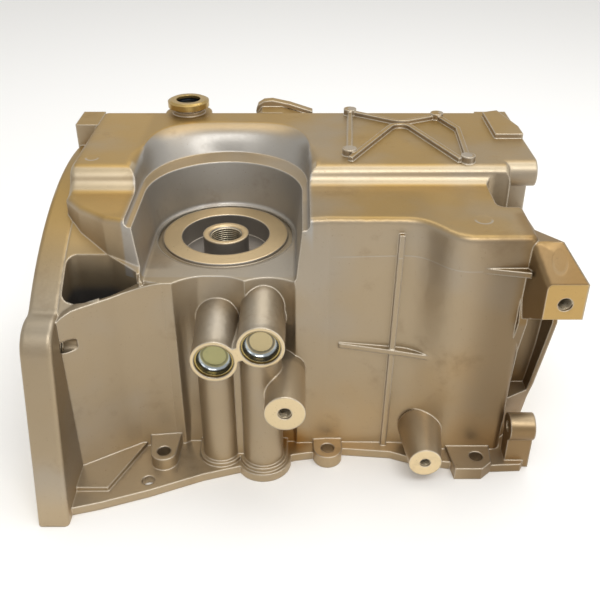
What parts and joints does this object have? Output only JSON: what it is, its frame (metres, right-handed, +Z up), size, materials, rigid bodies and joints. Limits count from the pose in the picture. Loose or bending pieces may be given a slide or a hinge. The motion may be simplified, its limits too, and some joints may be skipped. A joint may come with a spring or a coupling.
{
  "type": "engine oil pan",
  "caption": "Cast aluminium engine oil pan with an oil-filter recess, oil galleries, a bell-housing plate and a drain plug, lying on its gasket face.",
  "frame": {"origin": "middle of the pan's length and width, on the gasket face", "axes": "+X from the bell-housing face to the front-cover end, +Y from the oil-filter side to the drain side, +Z up from the gasket face to the sump floor"},
  "size_m": [0.321, 0.262, 0.19],
  "materials": {
    "cast_aluminium": "satin cast skin with machined faces",
    "plug_plating": "satin passivated sheet",
    "drain_plug_steel": "satin yellow passivated",
    "washer_metal": "satin"
  },
  "bodies": {
    "root": {"pan_casting": "cast_aluminium", "core_plug_left": "plug_plating", "core_plug_right": "plug_plating", "drain_plug": "drain_plug_steel", "drain_plug_washer": "washer_metal"}
  },
  "joints": []
}
